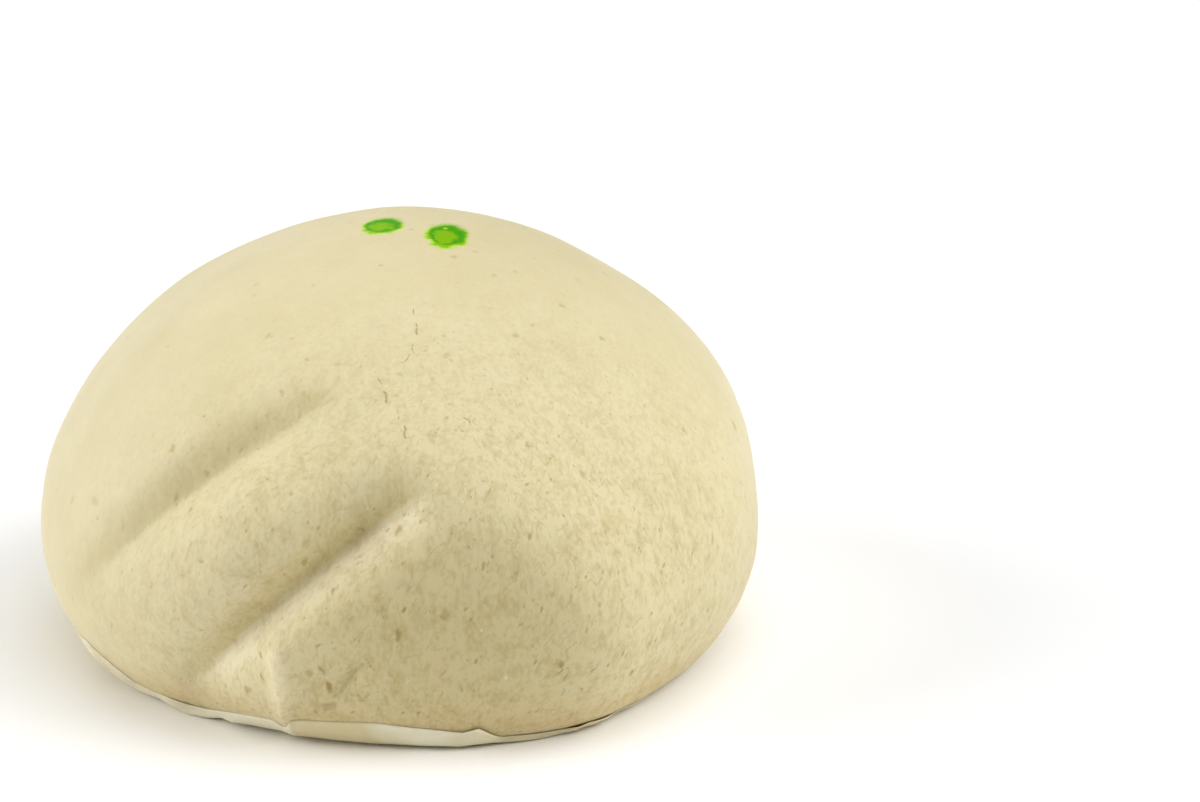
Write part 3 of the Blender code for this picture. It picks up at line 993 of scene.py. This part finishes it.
# %% List the pleats
PAPER_THICKNESS = 0.00014
GAP_AT_EDGE = -0.00003
STAND_POWER = 8
PAPER_SEGMENTS = 720
PAPER_RINGS = 16
PAPER_INNER_RING = -25
LIES_FLAT_BELOW = 0.0001
FACING_STEP = 0.5
WIDEST_RUN = 0.74
SAG_OF_SPREAD = 0.6
Edge = namedtuple("Edge", "bearing elevation stand spread loose")
PAPER_EDGE = (
    Edge(-180, -14.0, 0.0005, 0.0003, 0.8),
    Edge(-158, -11.5, 0.0009, 0.0001, 1.0),
    Edge(-135, -13.0, 0.0003, 0.0005, 0.5),
    Edge(-110, -10.0, 0.0008, 0.0002, 1.0),
    Edge(-88, -14.0, 0.0001, 0.0003, 0.6),
    Edge(-70, -12.5, 0.0, 0.0001, 0.5),
    Edge(-61, -10.5, 0.0, 0.0002, 0.6),
    Edge(-57, -14.0, 0.0, 0.0003, 0.8),
    Edge(-53, -17.4, 0.0, 0.0004, 0.9),
    Edge(-48.5, -18.4, 0.0, 0.0003, 0.7),
    Edge(-45, -18.2, 0.0001, 0.0006, 1.0),
    Edge(-41, -19.6, 0.0001, 0.0011, 1.0),
    Edge(-37, -19.6, 0.0, 0.0009, 1.0),
    Edge(-34, -18.8, 0.0, 0.0004, 0.8),
    Edge(-31, -18.0, 0.0, 0.0006, 1.0),
    Edge(-26, -17.0, 0.0, 0.0002, 1.0),
    Edge(-20.5, -16.2, 0.0, 0.0, 0.9),
    Edge(-19.6, -16.4, 0.0, 0.0001, 0.6),
    Edge(-19.0, -17.4, 0.0, 0.0002, 0.9),
    Edge(-17.7, -16.9, 0.0001, 0.0004, 1.0),
    Edge(-17.2, -15.2, 0.0, 0.0002, 0.2),
    Edge(-14.5, -14.7, 0.0, 0.0001, 0.0),
    Edge(-8, -14.3, 0.0, 0.0, 0.0),
    Edge(-4, -14.1, 0.0, 0.0, 0.05),
    Edge(-1, -14.2, 0.0, 0.0, 0.9),
    Edge(4, -15.1, 0.0001, 0.0001, 1.0),
    Edge(9, -15.8, 0.0001, 0.0003, 1.0),
    Edge(13, -16.5, 0.0002, 0.0005, 0.7),
    Edge(15.5, -15.4, 0.0005, 0.0004, 1.0),
    Edge(18.5, -17.8, 0.0002, 0.0003, 0.6),
    Edge(20, -19.0, 0.0001, 0.0004, 0.4),
    Edge(27, -19.4, 0.0002, 0.0006, 0.3),
    Edge(31, -19.2, 0.0002, 0.0004, 0.3),
    Edge(33.5, -18.6, 0.0007, 0.0004, 0.3),
    Edge(35.5, -18.0, 0.0003, 0.0002, 0.3),
    Edge(37, -18.2, 0.0004, 0.0003, 0.3),
    Edge(39.5, -18.8, 0.0005, 0.0003, 0.3),
    Edge(42.5, -19.2, 0.0001, 0.0001, 0.3),
    Edge(46.5, -18.6, 0.0002, 0.0, 0.3),
    Edge(50, -19.5, 0.0, 0.0, 0.3),
    Edge(84, -19.0, 0.0001, 0.0, 0.4),
    Edge(104, -12.5, 0.0009, 0.0003, 1.0),
    Edge(128, -14.5, 0.0003, 0.0002, 0.6),
    Edge(152, -11.0, 0.0007, 0.0004, 1.0),
)
print("rows round the paper's edge:", len(PAPER_EDGE))


# %% Read the list at any bearing
def paper_edge(bearing):
    """At a bearing: the edge's elevation, its stand, the foot's spread and the looseness."""
    ring = PAPER_EDGE + (PAPER_EDGE[0]._replace(bearing=PAPER_EDGE[0].bearing + 360),)
    turn = (bearing - ring[0].bearing) % 360 + ring[0].bearing
    here, there = next(pair for pair in zip(ring, ring[1:]) if turn <= pair[1].bearing)
    share = (turn - here.bearing) / (there.bearing - here.bearing)
    return [low + (high - low) * share for low, high in zip(here[1:], there[1:])]


print("at the front, the paper's edge has", paper_edge(0))


# %% Model the paper
def skin_facing(bearing, elevation):
    """Which way the skin faces at a place, found from its neighbours."""
    sides = (-FACING_STEP, FACING_STEP)
    left, right = (skin_place(toward(bearing + side, elevation)) for side in sides)
    below, above = (skin_place(toward(bearing, elevation + side)) for side in sides)
    return (right - left).cross(above - below).normalized()


def paper_place(bearing, run):
    """A place on the paper's underside, this share of the way to its edge, and its looseness."""
    edge_elevation, stand, spread, loose = paper_edge(bearing)
    elevation = PAPER_INNER_RING + (edge_elevation - PAPER_INNER_RING) * run
    off_skin = BUN_FLOOR + (GAP_AT_EDGE + PAPER_THICKNESS - BUN_FLOOR) * run
    place = skin_place(toward(bearing, elevation))
    spread *= ease(run, 0.0, WIDEST_RUN) * ease(-run, -1.0, -WIDEST_RUN)
    outwards = stand * run ** STAND_POWER + spread
    place += skin_facing(bearing, elevation) * off_skin + toward(bearing, 0) * outwards
    place.z -= spread * SAG_OF_SPREAD
    if place.z < LIES_FLAT_BELOW:
        place.z = 0.0
    return place + TO_FRAME, loose * run


def make_paper():
    sheet = bmesh.new()
    bmesh.ops.create_circle(sheet, cap_ends=True, segments=PAPER_SEGMENTS, radius=1.0)
    rim = [edge for edge in sheet.edges if edge.is_boundary]
    for ring in range(2, PAPER_RINGS + 2):
        grown = bmesh.ops.extrude_edge_only(sheet, edges=rim)["geom"]
        bmesh.ops.scale(sheet, vec=(ring / (ring - 1), ring / (ring - 1), 1.0),
                        verts=[item for item in grown if isinstance(item, bmesh.types.BMVert)])
        rim = [item for item in grown if isinstance(item, bmesh.types.BMEdge) and item.is_boundary]
    loose = sheet.verts.layers.float.new("loose")
    for vert in sheet.verts:
        bearing = math.degrees(math.atan2(vert.co.x, -vert.co.y))
        vert.co, vert[loose] = paper_place(bearing, (vert.co.length - 1) / PAPER_RINGS)
    bmesh.ops.recalc_face_normals(sheet, faces=sheet.faces[:])
    bmesh.ops.solidify(sheet, geom=sheet.faces[:], thickness=PAPER_THICKNESS)
    bmesh.ops.recalc_face_normals(sheet, faces=sheet.faces[:])
    return mesh_object("paper_sheet", sheet)


paper_sheet = make_paper()
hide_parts("paper")
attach(paper_sheet, "root")
print("paper:", len(paper_sheet.data.polygons), "faces")

# %% [markdown]
# ## The finish of the paper
# Baking paper is thin and a little see-through. Where it sticks to the damp dough it takes the
# dough's tan, and where it is loose it is whitish. The sheet carries its looseness as an attribute,
# which tells the two apart, and fine fibres run all through it.

# %% Build the paper material
PAPER_FREE = (0.95, 0.87, 0.64)
PAPER_STUCK = (0.73, 0.615, 0.34)
BLOTCH_SHARE, FIBRE_SHARE = 0.40, 0.12
BLOTCH_HEIGHT, FIBRE_HEIGHT = 0.03, 0.006
ROUGHNESS_STUCK, ROUGHER_WHERE_FREE = 0.38, 0.10


def make_paper_finish():
    material, tree, shader = new_material("baking_paper")
    place = add_node(tree, "TexCoord").outputs["Object"]
    loose = add_node(tree, "Attribute", attribute_name="loose").outputs["Fac"]
    blotches = use_group(tree, MOTTLE, Place=place, Size=0.006, Detail=2.0)["Mottle"]
    fibres = use_group(tree, MOTTLE, Place=place, Size=0.0006, Detail=3.0)["Mottle"]
    free = calculate(tree, "MULTIPLY_ADD", blotches, BLOTCH_SHARE, loose, clamp=True)
    colour = mix_colours(tree, free, PAPER_STUCK, PAPER_FREE)
    fibre = calculate(tree, "MULTIPLY_ADD", fibres, FIBRE_SHARE, FIBRE_SHARE, clamp=True)
    colour = mix_colours(tree, fibre, colour, PAPER_STUCK)
    height = calculate(tree, "MULTIPLY_ADD", fibres, FIBRE_HEIGHT,
                       calculate(tree, "MULTIPLY", blotches, BLOTCH_HEIGHT))
    bump = add_node(tree, "Bump", {"Height": height, "Distance": BUMP_UNIT, "Strength": 1.0})
    roughness = calculate(tree, "MULTIPLY_ADD", free, ROUGHER_WHERE_FREE, ROUGHNESS_STUCK)
    fill(tree, shader.inputs["Base Color"], colour)
    fill(tree, shader.inputs["Normal"], bump.outputs["Normal"])
    fill(tree, shader.inputs["Roughness"], roughness)
    shader.inputs["Subsurface Weight"].default_value = 0.3
    shader.inputs["Subsurface Radius"].default_value = (1.0, 0.8, 0.6)
    shader.inputs["Subsurface Scale"].default_value = 0.001
    return material


paper_sheet.data.materials.append(make_paper_finish())
print("finishes so far:", [material.name for material in bpy.data.materials])

# %% [markdown]
# ## Table and light
# Food on a white table needs little: a pale floor that runs far out behind, and wide soft lamps.
# Sun lamps with a wide angle light the table evenly, so it stays white to the edge of the picture.
# The left and right lamps shine from the sides, which leaves the front of the bun in half shade
# and lets the folds show. The top lamp leans a little to the front, and a faint one at the back
# gives the crown its rim.

# %% Lay the floor
FLOOR_HALF_WIDTH = 4.0
FLOOR_WHITE = (0.97, 0.97, 0.97)
FLOOR_ROUGHNESS, FLOOR_CLOUDED = 0.7, 0.05


def make_floor():
    floor = bmesh.new()
    bmesh.ops.create_grid(floor, x_segments=1, y_segments=1, size=FLOOR_HALF_WIDTH)
    made = mesh_object("floor", floor)
    material, tree, shader = new_material("white_table")
    place = add_node(tree, "TexCoord").outputs["Object"]
    clouds = use_group(tree, MOTTLE, Place=place, Size=0.05, Detail=2.0)["Mottle"]
    roughness = calculate(tree, "MULTIPLY_ADD", clouds, FLOOR_CLOUDED, FLOOR_ROUGHNESS)
    fill(tree, shader.inputs["Roughness"], roughness)
    shader.inputs["Base Color"].default_value = (*FLOOR_WHITE, 1.0)
    made.data.materials.append(material)
    return made


floor = make_floor()
print("the floor is", 2 * FLOOR_HALF_WIDTH, "m wide")

# %% Hang the lamps
Lamp = namedtuple("Lamp", "name comes_from strength width")
LAMPS = (
    Lamp("left_lamp", (-1.0, -0.05, 0.36), 2.15, 50),
    Lamp("right_lamp", (1.0, -0.05, 0.65), 1.50, 50),
    Lamp("top_lamp", (0.28, -0.20, 1.0), 2.10, 60),
    Lamp("back_lamp", (-0.5, 0.86, 0.36), 0.30, 50),
)
SKY_WHITE = (1.0, 1.0, 1.0)
SKY_STRENGTH = 0.03


def hang_lamp(lamp):
    data = bpy.data.lights.new(lamp.name, "SUN")
    data.energy = lamp.strength
    data.angle = math.radians(lamp.width)
    made = add_object(lamp.name, data)
    made.rotation_euler = Vector(lamp.comes_from).to_track_quat("Z", "Y").to_euler()


def light_sky():
    world = bpy.data.worlds.new("sky")
    world.use_nodes = True
    background = world.node_tree.nodes["Background"]
    background.inputs["Color"].default_value = (*SKY_WHITE, 1.0)
    background.inputs["Strength"].default_value = SKY_STRENGTH
    scene.world = world


for lamp in LAMPS:
    hang_lamp(lamp)
light_sky()
scene.view_settings.view_transform = "Standard"
print("lamps:", [lamp.name for lamp in LAMPS])
